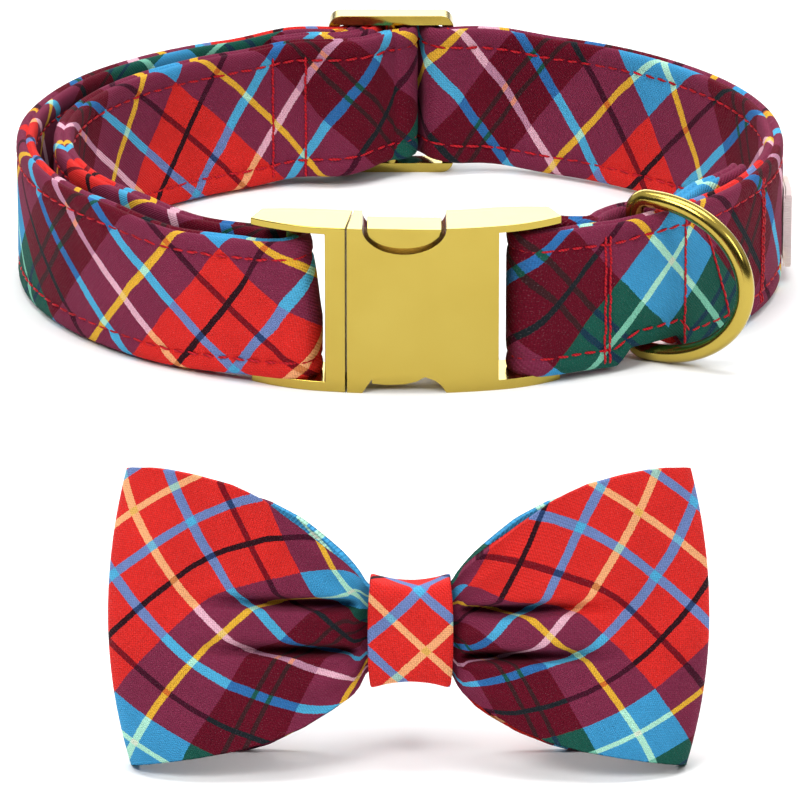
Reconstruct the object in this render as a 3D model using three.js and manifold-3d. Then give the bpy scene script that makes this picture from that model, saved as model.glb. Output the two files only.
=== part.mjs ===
// Pet bow tie collar: a tartan cloth collar with a fastened metal side-release
// buckle, a slider and a leash D-ring, and its detachable bow tie standing in
// front of it. Millimetres, +Z up, -Y towards the front of the buckle.
import * as THREE from 'three';
import { mergeVertices } from 'three/addons/utils/BufferGeometryUtils.js';
import Module from 'manifold-3d';

const wasm = await Module();
wasm.setup();

// ---- driving dimensions -------------------------------------------------
const LOOP_A = 65.0;          // outer half width of the worn loop, X
const LOOP_B = 59.5;          // outer half depth of the worn loop, Y
const STRAP_T = 3.2;          // two-ply strap thickness
const STRAP_Z0 = 2.0;         // lower edge of the strap inside the metal pieces
const STRAP_LOW = 0.6;        // lower edge where the strap hangs free
const STRAP_W = 25.0;         // strap width
const GAP = 0.3;              // clearance between separate pieces
const METAL_H = 29.0;         // height of buckle and slider
const RAIL = 1.7;             // height of a buckle or slider rail
const BAR_R = 1.3;            // radius of the buckle's strap bars
const WRAP_R = BAR_R + GAP + STRAP_T / 2;   // strap centre round a strap bar
const OUTER_N = -STRAP_T / 2;               // outer layer, from the loop's outside
const BAR_N = OUTER_N - WRAP_R;             // strap bars, same measure
const INNER_N = BAR_N - WRAP_R;             // inner layer at the bars
const STACK_N = OUTER_N - STRAP_T - GAP;    // inner layer where it is sewn flat
const MALE_X = -17.3;         // strap bar of the male half
const FEMALE_X = 21.4;        // strap bar of the female half
const RING_WIRE = 1.5;        // D-ring wire radius
const RING_H = 29.6;          // D-ring outer height
const RING_REACH = 23.4;      // D-ring, outside of bar to outside of bow
const RING_PHI = 39.8;        // place of the D-ring bar round the loop, degrees
const RING_ANGLE = -28;       // direction in which the D-ring stands, degrees
const RING_Z0 = 3.7;          // lower edge of the strap where the D-ring grips it
const RING_Z1 = 25.9;         // upper edge there
const BOW_X = 1.3;            // bow centre
const BOW_Y = -215.2;         // lower front corners of the bow
const BOW_LEAN = 12;          // bow leans back, degrees
const BOW_T = 1.4;            // bow cloth thickness
const BOW_RISE = 21.65;       // middle of the bow above its lower corners

const deg = THREE.MathUtils.degToRad;
const lerp = THREE.MathUtils.lerp;

// ---- solid helpers ------------------------------------------------------
function signedVolume(pos, idx) {
  const a = new THREE.Vector3();
  const b = new THREE.Vector3();
  const c = new THREE.Vector3();
  let sum = 0;
  for (let i = 0; i < idx.length; i += 3) {
    a.fromArray(pos, idx[i] * 3);
    b.fromArray(pos, idx[i + 1] * 3);
    c.fromArray(pos, idx[i + 2] * 3);
    sum += a.dot(b.cross(c));
  }
  return sum;
}

function closedGeometry(pos, idx) {
  if (signedVolume(pos, idx) < 0) {
    for (let i = 0; i < idx.length; i += 3) {
      [idx[i + 1], idx[i + 2]] = [idx[i + 2], idx[i + 1]];
    }
  }
  const g = new THREE.BufferGeometry();
  g.setAttribute('position', new THREE.Float32BufferAttribute(pos, 3));
  g.setIndex(idx);
  g.computeVertexNormals();
  return g;
}

// A solid from rings of points, all with the same count. An open run of rings
// gets flat ends, a closed run joins its last ring to its first.
function ringSolid(rings, closed = false) {
  const k = rings[0].length;
  const pos = [];
  const idx = [];
  rings.forEach((ring) => ring.forEach((p) => pos.push(p.x, p.y, p.z)));
  const spans = closed ? rings.length : rings.length - 1;
  for (let s = 0; s < spans; s++) {
    const r0 = s * k;
    const r1 = ((s + 1) % rings.length) * k;
    for (let i = 0; i < k; i++) {
      const j = (i + 1) % k;
      idx.push(r0 + i, r1 + i, r1 + j);
      idx.push(r0 + i, r1 + j, r0 + j);
    }
  }
  if (!closed) {
    const last = (rings.length - 1) * k;
    for (let i = 1; i < k - 1; i++) {
      idx.push(0, i, i + 1);
      idx.push(last, last + i + 1, last + i);
    }
  }
  return closedGeometry(pos, idx);
}

function toManifold(geometry) {
  let g = geometry.clone();
  g.deleteAttribute('normal');
  g.deleteAttribute('uv');
  g = mergeVertices(g, 1e-4);
  return new wasm.Manifold(new wasm.Mesh({
    numProp: 3,
    vertProperties: new Float32Array(g.attributes.position.array),
    triVerts: new Uint32Array(g.index.array),
  }));
}

function fromManifold(solid) {
  const mesh = solid.getMesh();
  return closedGeometry(Array.from(mesh.vertProperties), Array.from(mesh.triVerts));
}

function join(geometries) {
  return geometries.map(toManifold).reduce((a, b) => a.add(b));
}

// ---- the loop the collar follows ----------------------------------------
// phi is measured in degrees from the front, positive to the right.
function loopNormal(phi) {
  const f = deg(phi);
  return new THREE.Vector2(LOOP_B * Math.sin(f), -LOOP_A * Math.cos(f)).normalize();
}

function loopPoint(phi, n) {
  const f = deg(phi);
  const p = new THREE.Vector2(LOOP_A * Math.sin(f), -LOOP_B * Math.cos(f));
  return p.addScaledVector(loopNormal(phi), n);
}

// Angle at which the line n inside the loop reaches a given X at the front.
function phiAtX(x, n = 0) {
  return THREE.MathUtils.radToDeg(Math.asin(x / (LOOP_A + n)));
}

// ---- strap --------------------------------------------------------------
const malePhi = phiAtX(MALE_X, BAR_N);
const femalePhi = phiAtX(FEMALE_X, BAR_N);
const maleBar = loopPoint(malePhi, BAR_N);
const femaleBar = loopPoint(femalePhi, BAR_N);

const SLIDER = { x: -1.5, y: 55.5, barR: 1.2, sideX: 10.0, sideY: 57.4 };
const SLIDER_WRAP = SLIDER.barR + GAP + STRAP_T / 2;

function along(rows) {
  return rows.map(([phi, n]) => loopPoint(phi, n));
}

function arcAbout(centre, radius, from, to, steps) {
  const pts = [];
  for (let i = 0; i <= steps; i++) {
    const a = deg(lerp(from, to, i / steps));
    pts.push(new THREE.Vector2(
      centre.x + radius * Math.cos(a), centre.y + radius * Math.sin(a)));
  }
  return pts;
}

function strapPath() {
  const across = (x, y) => new THREE.Vector2(SLIDER.x + x, y);
  const frontLeft = malePhi - 90;       // direction of the strap at the male bar
  const frontRight = femalePhi - 90;
  return [
    // sewn end, then round the slider's middle bar
    across(-21.0, 50.1), across(-13.5, 50.7), across(-10.0, 50.4),
    across(-7.0, 51.3), across(-4.8, 53.3),
    ...arcAbout(SLIDER, SLIDER_WRAP, 150, -90, 16),
    // inner layer of the left half
    across(-2.2, 50.6), across(-4.8, 48.4), across(-10.0, 46.8),
    across(-13.5, 47.2),
    // columns: phi, distance from the outside of the loop
    ...along([[-160, -8.9], [-145, -8.5], [-125, -8.1], [-105, -7.9], [-85, -7.9],
      [-65, -8.0], [-45, -8.2], [-30, -8.2], [malePhi - 4, INNER_N]]),
    ...arcAbout(maleBar, WRAP_R, frontLeft + 180, frontLeft, 14),
    // outer layer of the left half
    ...along([[malePhi - 4, OUTER_N], [-30, -1.7], [-45, -1.6], [-65, -1.6],
      [-85, -1.6], [-105, -1.6], [-125, -1.6], [-145, -1.7], [-155, -1.9]]),
    // through the slider, over its middle bar
    across(-18.5, 54.4), across(-13.5, 54.1), across(-10.0, 53.9), across(-7.8, 54.6),
    across(-6.85, 56.6), across(-5.5, 59.3), across(-3.3, 61.3), across(0, 62.1),
    across(3.3, 61.3), across(5.5, 59.3), across(6.85, 56.6), across(7.8, 54.6),
    across(10.0, 53.9), across(13.5, 54.3),
    // right half
    ...along([[162, -2.1], [150, -1.7], [130, -1.6], [110, -1.6], [90, -1.6],
      [75, -1.6], [60, -1.6], [50, -1.6], [45, -1.5], [RING_PHI, -1.4], [35, -1.5],
      [30, -1.6], [femalePhi + 4, OUTER_N]]),
    ...arcAbout(femaleBar, WRAP_R, frontRight, frontRight - 180, 14),
    // inner layer at the front right, with the pocket that holds the D-ring
    ...along([[femalePhi + 4, INNER_N], [27, -6.4], [31.4, STACK_N], [35, -7.2],
      [RING_PHI, -8.4], [43.5, -7.2], [47, STACK_N], [52, -5.7], [58, -6.8],
      [63, -6.0], [69, STACK_N], [71, STACK_N]]),
  ];
}

// Cross-section of the strap: a flat strip with eased edges.
function strapRing(p, normal, z0, z1) {
  const h = STRAP_T / 2;
  const e = 0.9;
  const rows = [[-h + e, z0], [h - e, z0], [h, z0 + e], [h, z1 - e],
    [h - e, z1], [-h + e, z1], [-h, z1 - e], [-h, z0 + e]];
  return rows.map(([n, z]) => new THREE.Vector3(
    p.x + normal.x * n, p.y + normal.y * n, z));
}

// 1 close to a place in plan, falling to 0 further away.
function near(p, x, y, inner, outer) {
  const reach = Math.hypot(p.x - x, p.y - y);
  return 1 - THREE.MathUtils.smoothstep(reach, inner, outer);
}

// The strap hangs low, is lifted by the metal it runs through, and is pinched
// between the D-ring's arms.
function strapEdges(p) {
  const lift = Math.max(near(p, 2, -56, 24, 42), near(p, SLIDER.x, 56, 13, 30));
  const low = lerp(STRAP_LOW, STRAP_Z0, lift);
  const ring = loopPoint(RING_PHI, OUTER_N);
  const pinch = near(p, ring.x, ring.y, 5.5, 10.5);
  return [lerp(low, RING_Z0, pinch), lerp(low + STRAP_W, RING_Z1, pinch)];
}

function strapGeometry() {
  const raw = strapPath();
  const curve = new THREE.CatmullRomCurve3(
    raw.map((p) => new THREE.Vector3(p.x, p.y, 0)), false, 'centripetal');
  const stations = [];
  for (let i = 0; i < raw.length - 1; i++) {
    const span = raw[i].distanceTo(raw[i + 1]);
    const steps = Math.max(1, Math.round(span / 3.2));
    for (let s = 0; s < steps; s++) {
      stations.push((i + s / steps) / (raw.length - 1));
    }
  }
  stations.push(1);
  const rings = stations.map((t) => {
    const p = curve.getPoint(t);
    const d = curve.getTangent(t);
    const flat = new THREE.Vector2(p.x, p.y);
    const [z0, z1] = strapEdges(flat);
    return strapRing(flat, new THREE.Vector2(d.y, -d.x), z0, z1);
  });
  // Rows of stitching that close the layers together.
  const tacks = [
    tack(31.4, OUTER_N, STACK_N), tack(47, OUTER_N, STACK_N),
    tack(69.3, OUTER_N, STACK_N), tack(-159.5, -5.6, -8.9),
  ];
  return fromManifold(join([ringSolid(rings), ...tacks]));
}

// A short block from the middle of one layer to the middle of the next.
function tack(phi, n0, n1) {
  return arcBlock({ phi0: phi - 0.8, phi1: phi + 0.8, n0: n1, n1: n0,
    z0: RING_Z0 + 0.6, z1: STRAP_LOW + STRAP_W - 1.4, ease: 0.05, steps: 1 });
}

// ---- metal --------------------------------------------------------------
// A block bent to the loop, its long edges eased. The depth can change from one
// end to the other.
function arcBlock({ phi0, phi1, n0, n1, z0, z1, ease = 0.5, steps = 10, shrink = null }) {
  const rings = [];
  for (let i = 0; i <= steps; i++) {
    const f = i / steps;
    const phi = lerp(phi0, phi1, f);
    const s = shrink ? shrink(f) : 0;
    const a = n0 + s;
    const b = n1 - s;
    const e = ease;
    const rows = [[a + e, z0], [b - e, z0], [b, z0 + e], [b, z1 - e],
      [b - e, z1], [a + e, z1], [a, z1 - e], [a, z0 + e]];
    rings.push(rows.map(([n, z]) => {
      const p = loopPoint(phi, n);
      return new THREE.Vector3(p.x, p.y, z);
    }));
  }
  return ringSolid(rings);
}

function upright(centre, radius, z0, z1) {
  const g = new THREE.CylinderGeometry(radius, radius, z1 - z0, 20);
  g.rotateX(Math.PI / 2);
  g.translate(centre.x, centre.y, (z0 + z1) / 2);
  return g;
}

const BUCKLE = {
  n0: BAR_N - 4.6,            // neck side of the buckle
  n1: BAR_N + 4.9,            // outside of the buckle
  seam: -8.75,                // X of the joint between the halves
  bodyEnd: 16.2,              // X where the female window begins
  notchX: 0.75,               // centre of the release notches
};

function rails(xBody, xEnd) {
  const parts = [];
  for (const z0 of [0, METAL_H - RAIL]) {
    parts.push(arcBlock({
      phi0: phiAtX(xBody), phi1: phiAtX(xEnd), n0: BUCKLE.n0, n1: BUCKLE.n1,
      z0, z1: z0 + RAIL, ease: 0.35, steps: 6, shrink: (f) => 2.4 * f * f,
    }));
  }
  return parts;
}

// Side opening for a release tab, seen from the front.
function notchCutter(rows) {
  const shape = new THREE.Shape(rows.map(([x, z]) => new THREE.Vector2(x, z)));
  const g = new THREE.ExtrudeGeometry(shape, { depth: 40, bevelEnabled: false });
  g.rotateX(Math.PI / 2);
  g.translate(BUCKLE.notchX, -40, 0);
  return g;
}

function maleGeometry() {
  const bodyStart = -12.2;
  const pieces = [
    arcBlock({ phi0: phiAtX(bodyStart), phi1: phiAtX(BUCKLE.seam - GAP / 2),
      n0: BUCKLE.n0, n1: BUCKLE.n1, z0: 0, z1: METAL_H, steps: 3 }),
    ...rails(bodyStart + 0.4, -23.8),
    upright(maleBar, BAR_R, 0.6, METAL_H - 0.6),
  ];
  // Spring tongues that run into the female half and end in the release tabs.
  for (const up of [-1, 1]) {
    const mid = METAL_H / 2;
    const z = (a, b) => ({
      z0: Math.min(mid + up * a, mid + up * b), z1: Math.max(mid + up * a, mid + up * b) });
    pieces.push(arcBlock({ phi0: phiAtX(BUCKLE.seam - 1), phi1: phiAtX(7.0),
      n0: BAR_N - 2.3, n1: BAR_N + 2.9, ...z(5.0, 9.2), steps: 6 }));
    pieces.push(arcBlock({ phi0: phiAtX(-5.3), phi1: phiAtX(6.8),
      n0: BAR_N - 2.3, n1: BAR_N + 2.9, ...z(7.0, up > 0 ? 13.9 : 13.7), steps: 6 }));
  }
  return fromManifold(join(pieces));
}

function femaleGeometry() {
  const shell = join([
    arcBlock({ phi0: phiAtX(BUCKLE.seam + GAP / 2), phi1: phiAtX(BUCKLE.bodyEnd),
      n0: BUCKLE.n0, n1: BUCKLE.n1, z0: 0, z1: METAL_H, steps: 12 }),
    ...rails(BUCKLE.bodyEnd - 0.4, 27.0),
    upright(femaleBar, BAR_R, 0.6, METAL_H - 0.6),
  ]);
  const pocket = arcBlock({ phi0: phiAtX(BUCKLE.seam - 1), phi1: phiAtX(10.0),
    n0: BAR_N - 2.8, n1: BAR_N + 3.4, z0: 4.4, z1: METAL_H - 4.4, ease: 0.05, steps: 8 });
  const arc = [];
  for (let i = 0; i <= 12; i++) {
    const a = Math.PI * i / 12;
    arc.push([-6.85 * Math.cos(a), METAL_H - 4.6 * Math.sin(a)]);
  }
  const top = notchCutter([...arc, [6.85, METAL_H + 2], [-6.85, METAL_H + 2]]);
  const bottom = notchCutter([[-6.85, -2], [6.95, -2], [6.95, 0], [5.2, 2.6], [-5.2, 2.6],
    [-6.85, 0]]);
  // Channel that leads each notch down to the pocket, as wide as the tab.
  const shafts = [[-1, 5], [METAL_H - 5, METAL_H + 1]].map(([z0, z1]) => arcBlock({
    phi0: phiAtX(-5.75), phi1: phiAtX(7.25), n0: BAR_N - 2.8, n1: BAR_N + 3.4,
    z0, z1, ease: 0.05, steps: 6 }));
  const cut = join([pocket, top, bottom, ...shafts]);
  return fromManifold(shell.subtract(cut));
}

function sliderGeometry() {
  const pieces = [];
  const box = (x0, x1, y0, y1, z0, z1) => {
    const g = new THREE.BoxGeometry(x1 - x0, y1 - y0, z1 - z0);
    g.translate(SLIDER.x + (x0 + x1) / 2, (y0 + y1) / 2, (z0 + z1) / 2);
    return g;
  };
  for (const side of [-1, 1]) {
    const x = side * SLIDER.sideX;
    pieces.push(box(x - 1, x + 1, SLIDER.sideY - 1.1, SLIDER.sideY + 1.1, 0, METAL_H));
  }
  for (const z0 of [0, METAL_H - RAIL]) {
    pieces.push(box(-SLIDER.sideX - 0.9, SLIDER.sideX + 0.9,
      SLIDER.y - 1.2, SLIDER.sideY + 1.1, z0, z0 + RAIL));
  }
  pieces.push(upright(SLIDER, SLIDER.barR, 0.6, METAL_H - 0.6));
  return fromManifold(join(pieces));
}

// Closed outline of the D-ring's wire: s leaves the bar, z is up.
function ringOutline() {
  const mid = RING_H / 2;
  const tall = mid - RING_WIRE;
  const corner = 2.5;
  const bowStart = 4.0;
  const reach = RING_REACH - 2 * RING_WIRE - bowStart;
  const pts = [];
  for (let i = 0; i <= 5; i++) {
    const a = deg(lerp(180, 90, i / 5));
    pts.push([corner + corner * Math.cos(a), mid + tall - corner + corner * Math.sin(a)]);
  }
  for (let i = 0; i <= 22; i++) {
    const a = deg(lerp(90, -90, i / 22));
    pts.push([bowStart + reach * Math.cos(a), mid + tall * Math.sin(a)]);
  }
  for (let i = 0; i <= 5; i++) {
    const a = deg(lerp(270, 180, i / 5));
    pts.push([corner + corner * Math.cos(a), mid - tall + corner + corner * Math.sin(a)]);
  }
  return pts;
}

const ringBar = loopPoint(RING_PHI, -4.9);

function dRingGeometry() {
  const out = new THREE.Vector3(Math.cos(deg(RING_ANGLE)), Math.sin(deg(RING_ANGLE)), 0);
  const pts = ringOutline();
  const side = new THREE.Vector3(-out.y, out.x, 0);
  const n = pts.length;
  const at = ([s, z]) => new THREE.Vector3(
    ringBar.x + out.x * s, ringBar.y + out.y * s, z);
  const rings = pts.map((p, i) => {
    const here = at(p);
    const before = at(pts[(i + n - 1) % n]);
    const after = at(pts[(i + 1) % n]);
    const tangent = after.sub(before).normalize();
    const inward = new THREE.Vector3().crossVectors(tangent, side).normalize();
    const ring = [];
    for (let k = 0; k < 12; k++) {
      const a = 2 * Math.PI * k / 12;
      ring.push(here.clone()
        .addScaledVector(inward, RING_WIRE * Math.cos(a))
        .addScaledVector(side, RING_WIRE * Math.sin(a)));
    }
    return ring;
  });
  return ringSolid(rings, true);
}

function tagGeometry() {
  return arcBlock({ phi0: 86, phi1: 96, n0: GAP, n1: GAP + 1.5, z0: 2.6, z1: 15.6,
    ease: 0.4, steps: 4 });
}

// ---- bow tie ------------------------------------------------------------
// Flat shape of one wing. Columns: distance from the middle, upper edge, lower
// edge, half the depth of the loop of cloth.
const WING = [
  { x: 0.0, top: 3.9, bottom: -6.5, depth: 1.75 },
  { x: 3.5, top: 4.3, bottom: -6.9, depth: 1.75 },
  { x: 6.4, top: 4.8, bottom: -7.4, depth: 1.75 },
  { x: 8.2, top: 7.8, bottom: -11.0, depth: 3.4 },
  { x: 11.2, top: 10.5, bottom: -13.5, depth: 4.7 },
  { x: 15.5, top: 13.9, bottom: -16.1, depth: 5.7 },
  { x: 20.5, top: 17.0, bottom: -18.2, depth: 6.3 },
  { x: 26.0, top: 19.1, bottom: -19.6, depth: 6.5 },
  { x: 31.5, top: 20.5, bottom: -20.5, depth: 6.2 },
  { x: 36.5, top: 21.4, bottom: -21.1, depth: 5.4 },
  { x: 40.0, top: 21.8, bottom: -21.4, depth: 4.3 },
  { x: 42.0, top: 21.9, bottom: -21.5, depth: 3.0 },
  { x: 43.0, top: 21.9, bottom: -21.5, depth: 1.7 },
  { x: 43.3, top: 21.9, bottom: -21.5, depth: 0.0 },
];
const BOW_ROWS = 18;
const KNOT = { x: 6.35, v: -1.3, half: 8.15, waist: 0.8, front: 5.2, back: 4.8, t: 1.6 };

function wingPoint(row, side, layer, v) {
  const reach = row.x / 43.3;
  const x = side * row.x * (1 - 0.065 * v * v * reach * reach);
  // Two valleys run out from the knot and fade, with a puff between them.
  const fade = 1 - THREE.MathUtils.smoothstep(row.x, 12, 30);
  const line = 6.8 / (row.top - row.bottom);
  const dip = (c) => Math.exp(-((v - c) ** 2) / 0.022);
  const held = THREE.MathUtils.smoothstep(row.x, 6.4, 9);
  const fold = 0.62 * fade * held * (dip(line) + dip(-line));
  const n = layer * row.depth * (1 - fold);
  const flat = lerp(row.bottom, row.top, (v + 1) / 2);
  // The front layer sits a little higher than the back one, less so at the upper
  // rim near the knot. The back layer's lower rim is trimmed to stand on the floor.
  const level = THREE.MathUtils.smoothstep(row.x, 6.4, 10)
    * lerp(1, THREE.MathUtils.smoothstep(row.x, 12, 26), (v + 1) / 2);
  const lowest = 0.05 - BOW_RISE - Math.tan(deg(BOW_LEAN)) * n;
  return new THREE.Vector3(x, Math.max(flat + 0.19 * n * level, lowest), n);
}

function bowStations() {
  const last = WING.length - 1;
  const list = [];
  for (let i = last; i > 0; i--) list.push([WING[i], -1, 1]);
  for (let i = 0; i <= last; i++) list.push([WING[i], 1, 1]);
  for (let i = last - 1; i > 0; i--) list.push([WING[i], 1, -1]);
  for (let i = 0; i < last; i++) list.push([WING[i], -1, -1]);
  return list;
}

function bowGeometry() {
  const list = bowStations();
  const grid = list.map(([row, side, layer]) => {
    const col = [];
    for (let j = 0; j <= BOW_ROWS; j++) {
      col.push(wingPoint(row, side, layer, -1 + 2 * j / BOW_ROWS));
    }
    return col;
  });
  const n = grid.length;
  const m = BOW_ROWS;
  const inner = grid.map((col, i) => col.map((p, j) => {
    const du = grid[(i + 1) % n][j].clone().sub(grid[(i + n - 1) % n][j]);
    const dv = col[Math.min(m, j + 1)].clone().sub(col[Math.max(0, j - 1)]);
    const normal = du.cross(dv).normalize();
    return p.clone().addScaledVector(normal, -BOW_T);
  }));
  const rings = grid.map((col, i) => [...col, ...inner[i].slice().reverse()]);
  return ringSolid(rings, true);
}

// A band wound once round the bow's front and back, seen from its end as an
// eased oblong.
function bandSolid({ halfX, v, half, nMid, nHalf, t, waist, columns }) {
  const rings = [];
  const steps = 32;
  const power = 0.35;
  for (let i = 0; i < steps; i++) {
    const a = 2 * Math.PI * i / steps;
    const c = Math.sign(Math.cos(a)) * Math.abs(Math.cos(a)) ** power;
    const s = Math.sign(Math.sin(a)) * Math.abs(Math.sin(a)) ** power;
    const ring = [];
    for (const wall of [0, 1]) {
      for (let k = 0; k <= columns; k++) {
        const f = wall ? 1 - k / columns : k / columns;
        const x = lerp(-halfX, halfX, f);
        const w = waist * (1 - (x / halfX) ** 2);
        ring.push(new THREE.Vector3(x, v + c * (half - w - wall * t),
          nMid + s * (nHalf - wall * t)));
      }
    }
    rings.push(ring);
  }
  return ringSolid(rings, true);
}

function knotGeometry() {
  return bandSolid({ halfX: KNOT.x, v: KNOT.v, half: KNOT.half,
    nMid: (KNOT.front - KNOT.back) / 2, nHalf: (KNOT.front + KNOT.back) / 2,
    t: KNOT.t, waist: KNOT.waist, columns: 4 });
}

function rearLoopGeometry() {
  const nHalf = 2.7;
  return bandSolid({ halfX: 4, v: KNOT.v - 1.2, half: 6.2, nMid: -KNOT.back - GAP - nHalf,
    nHalf, t: 1.1, waist: 0, columns: 1 });
}

// From the bow's own plane (across, up, outwards) to its place in the part.
function placeBow(geometry) {
  const lean = deg(BOW_LEAN);
  const m = new THREE.Matrix4().makeBasis(
    new THREE.Vector3(1, 0, 0),
    new THREE.Vector3(0, Math.sin(lean), Math.cos(lean)),
    new THREE.Vector3(0, -Math.cos(lean), Math.sin(lean)));
  m.setPosition(BOW_X, BOW_Y + BOW_RISE * Math.sin(lean), BOW_RISE * Math.cos(lean));
  geometry.applyMatrix4(m);
  return geometry;
}

// ---- assembly -----------------------------------------------------------
const tartan = { color: 0x7c2430, roughness: 0.85, metalness: 0 };
const brass = { color: 0xd8be54, roughness: 0.22, metalness: 1 };
const pieces = [
  { name: 'strap', make: strapGeometry, look: tartan },
  { name: 'buckle_male', make: maleGeometry, look: brass },
  { name: 'buckle_female', make: femaleGeometry, look: brass },
  { name: 'slider', make: sliderGeometry, look: brass },
  { name: 'd_ring', make: dRingGeometry, look: brass },
  { name: 'size_tag', make: tagGeometry, look: { color: 0xe6c9c4, roughness: 0.8, metalness: 0 } },
  { name: 'bow_wings', make: () => placeBow(bowGeometry()), look: tartan },
  { name: 'bow_knot', make: () => placeBow(knotGeometry()),
    look: { color: 0xc4302a, roughness: 0.85, metalness: 0 } },
  { name: 'bow_rear_loop', make: () => placeBow(rearLoopGeometry()),
    look: { color: 0x241a1c, roughness: 0.9, metalness: 0 } },
];

const part = new THREE.Group();
part.name = 'pet_bow_tie_collar';
for (const { name, make, look } of pieces) {
  const mesh = new THREE.Mesh(make(), new THREE.MeshStandardMaterial(look));
  mesh.name = name;
  part.add(mesh);
}

// The origin is the middle of the footprint, on the floor.
const bounds = new THREE.Box3().setFromObject(part);
const middle = bounds.getCenter(new THREE.Vector3());
for (const mesh of part.children) {
  mesh.geometry.translate(-middle.x, -middle.y, -bounds.min.z);
}

export default part;
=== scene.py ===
import math

import bmesh
import bpy
import numpy as np
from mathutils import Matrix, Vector


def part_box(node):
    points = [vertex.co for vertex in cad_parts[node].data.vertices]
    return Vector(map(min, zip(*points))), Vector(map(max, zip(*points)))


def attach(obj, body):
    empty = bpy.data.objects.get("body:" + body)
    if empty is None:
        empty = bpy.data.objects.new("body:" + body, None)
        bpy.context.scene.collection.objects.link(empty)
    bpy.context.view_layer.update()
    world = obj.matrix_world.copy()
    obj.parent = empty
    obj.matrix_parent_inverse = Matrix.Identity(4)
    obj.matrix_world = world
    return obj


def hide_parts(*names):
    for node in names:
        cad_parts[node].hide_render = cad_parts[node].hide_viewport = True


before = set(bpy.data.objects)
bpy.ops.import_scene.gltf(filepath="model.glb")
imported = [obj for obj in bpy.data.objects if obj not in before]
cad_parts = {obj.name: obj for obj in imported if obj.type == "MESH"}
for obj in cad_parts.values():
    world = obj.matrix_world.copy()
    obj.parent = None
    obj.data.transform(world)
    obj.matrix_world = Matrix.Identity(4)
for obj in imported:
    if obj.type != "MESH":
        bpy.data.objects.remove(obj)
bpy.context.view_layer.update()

# ---- Table, light and camera --------------------------------------------------
# The collar stands on its lower edge on a white table and the bow tie stands
# in front of it. A long lens looks down on both from the front.
MM = 0.001
strap_low, strap_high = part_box("strap")
LOOP_X = strap_low[0] / MM + 65.0  # middle of the collar's loop, mm
LOOP_Y = strap_high[1] / MM - 63.7
CAM_RISE = math.radians(19.3)
CAM_REACH = 1300.0
CAM_DIP = math.radians(0.954)
LENS_MM = 342.3

camera_data = bpy.data.cameras.new("camera")
camera_data.lens = LENS_MM
camera_data.sensor_width = 36
camera = bpy.data.objects.new("camera", camera_data)
camera.location = (
    (LOOP_X + 0.05) * MM,
    (LOOP_Y - CAM_REACH * math.cos(CAM_RISE)) * MM,
    CAM_REACH * math.sin(CAM_RISE) * MM,
)
camera.rotation_euler = (math.pi / 2 - CAM_RISE - CAM_DIP, 0, 0)
bpy.context.scene.collection.objects.link(camera)
bpy.context.scene.camera = camera


def set_in(node, name, value):
    node.inputs[name].default_value = value


def area_light(name, place, aim, size, power):
    data = bpy.data.lights.new(name, "AREA")
    data.shape = "RECTANGLE"
    data.size, data.size_y = size
    data.energy = power
    lamp = bpy.data.objects.new(name, data)
    lamp.location = place
    lamp.rotation_euler = (Vector(aim) - Vector(place)).to_track_quat("-Z", "Y").to_euler()
    bpy.context.scene.collection.objects.link(lamp)


area_light("key", (-0.55, -0.7, 0.95), (0, 0, 0), (0.45, 0.45), 7.0)
area_light("fill", (0.8, -0.6, 0.75), (0, 0, 0), (0.3, 0.6), 3.2)
area_light("top", (0.0, 0.05, 1.1), (0, 0, 0), (0.9, 0.5), 8.5)
area_light("rim", (0.0, 1.25, 0.52), (0, 0, 0.02), (1.7, 0.5), 8.5)

# White overhead, with a dim band over the front horizon for the polished metal.
world = bpy.data.worlds.new("studio")
bpy.context.scene.world = world
world.use_nodes = True
sky = world.node_tree
sky_place = sky.nodes.new("ShaderNodeTexCoord")
sky_split = sky.nodes.new("ShaderNodeSeparateXYZ")
sky.links.new(sky_place.outputs["Generated"], sky_split.inputs[0])
sky_bands = []
for levels in (
    ((0.0, 0.3), (0.1, 0.06), (0.5, 0.08), (0.72, 1.0)),
    ((0.0, 0.45), (0.1, 0.3), (0.24, 1.0), (1.0, 1.0)),
):
    ramp = sky.nodes.new("ShaderNodeValToRGB")
    for i, (height, level) in enumerate(levels):
        stop = ramp.color_ramp.elements[i] if i < 2 else ramp.color_ramp.elements.new(height)
        stop.position = height
        stop.color = (level, level, level, 1)
    sky.links.new(sky_split.outputs["Z"], ramp.inputs[0])
    sky_bands.append(ramp)
sky_side = sky.nodes.new("ShaderNodeMapRange")
set_in(sky_side, "From Min", -0.3)
set_in(sky_side, "From Max", 0.1)
sky.links.new(sky_split.outputs["Y"], sky_side.inputs[0])
sky_mix = sky.nodes.new("ShaderNodeMix")
sky_mix.data_type = "RGBA"
sky.links.new(sky_side.outputs[0], sky_mix.inputs[0])
sky.links.new(sky_bands[0].outputs[0], sky_mix.inputs[6])
sky.links.new(sky_bands[1].outputs[0], sky_mix.inputs[7])
sky.links.new(sky_mix.outputs[2], sky.nodes["Background"].inputs["Color"])
set_in(sky.nodes["Background"], "Strength", 0.7)
bpy.context.scene.view_settings.view_transform = "Standard"

table_mesh = bpy.data.meshes.new("table")
table_mesh.from_pydata([(-9, -9, 0), (9, -9, 0), (9, 9, 0), (-9, 9, 0)], [], [(0, 1, 2, 3)])
table = bpy.data.objects.new("table", table_mesh)
bpy.context.scene.collection.objects.link(table)
table_paint = bpy.data.materials.new("table_white")
table_paint.use_nodes = True
set_in(table_paint.node_tree.nodes["Principled BSDF"], "Base Color", (0.94, 0.94, 0.94, 1))
set_in(table_paint.node_tree.nodes["Principled BSDF"], "Roughness", 0.9)
table_mesh.materials.append(table_paint)

# ---- Strap ----------------------------------------------------------------------
# One band of two plies, folded at both edges and sewn along them. It is doubled
# through the slider on the left half, and turned back and tacked at the front right.

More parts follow.
